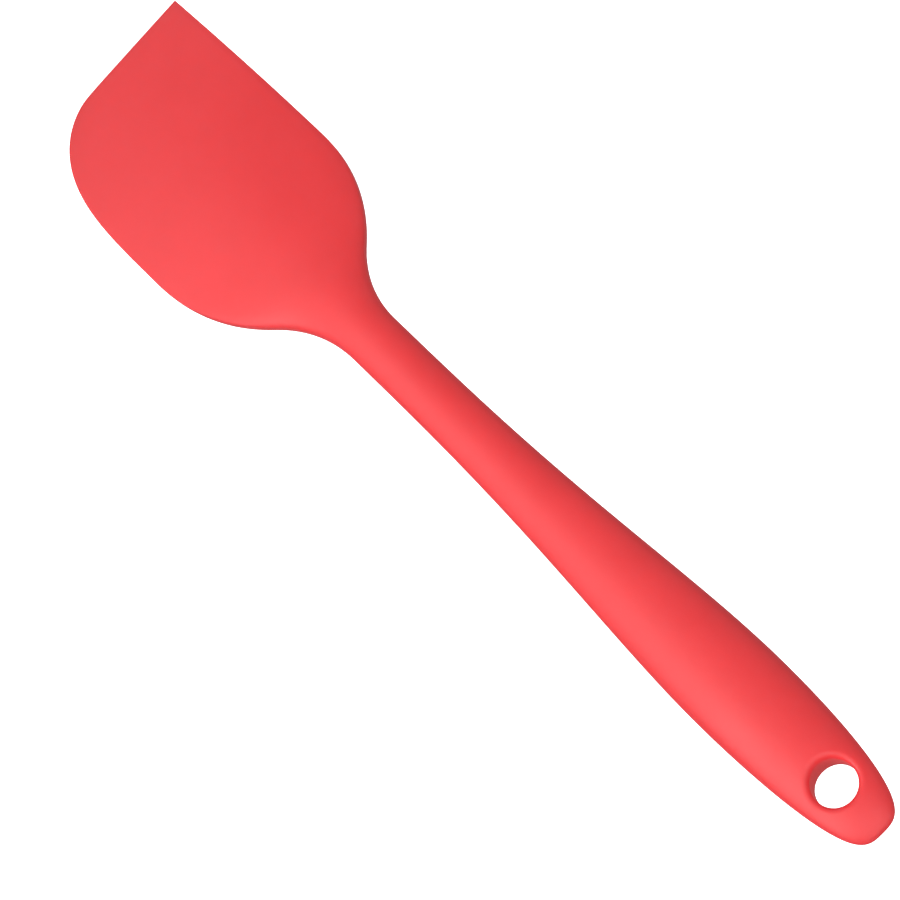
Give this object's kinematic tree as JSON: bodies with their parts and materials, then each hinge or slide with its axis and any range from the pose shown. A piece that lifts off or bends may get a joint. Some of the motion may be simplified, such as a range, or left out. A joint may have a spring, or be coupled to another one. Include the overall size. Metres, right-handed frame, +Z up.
{
  "type": "silicone spatula",
  "caption": "One-piece silicone spatula with a shallow scooped flexible blade, one square and one rounded corner, an oval handle over a steel core, and a hang hole.",
  "frame": {"origin": "centre of the bounding box at its underside, which is the table the spatula lies on with its scooped face down", "axes": "+X along the handle's axis from the blade's tip to the hang hole, +Y towards the blade's sharp corner, +Z up, out of the blade's rounded back"},
  "size_m": [0.28, 0.0546, 0.014],
  "materials": {
    "silicone": "matte moulded silicone",
    "core_steel": "stamped strip, mill finish"
  },
  "bodies": {
    "handle": {"handle_moulding": "silicone", "blade_flex_band": "silicone", "stiffening_core": "core_steel"},
    "blade_tip": {"blade_tip": "silicone"}
  },
  "joints": [
    {"name": "blade_flex", "type": "hinge", "parent": "handle", "child": "blade_tip", "pos_m": [-0.113, 0, 0], "axis": [0, -1, 0], "range_deg": [-60, 95], "stiffness_Nm_per_rad": 0.04, "deforming": ["blade_flex_band"]}
  ]
}
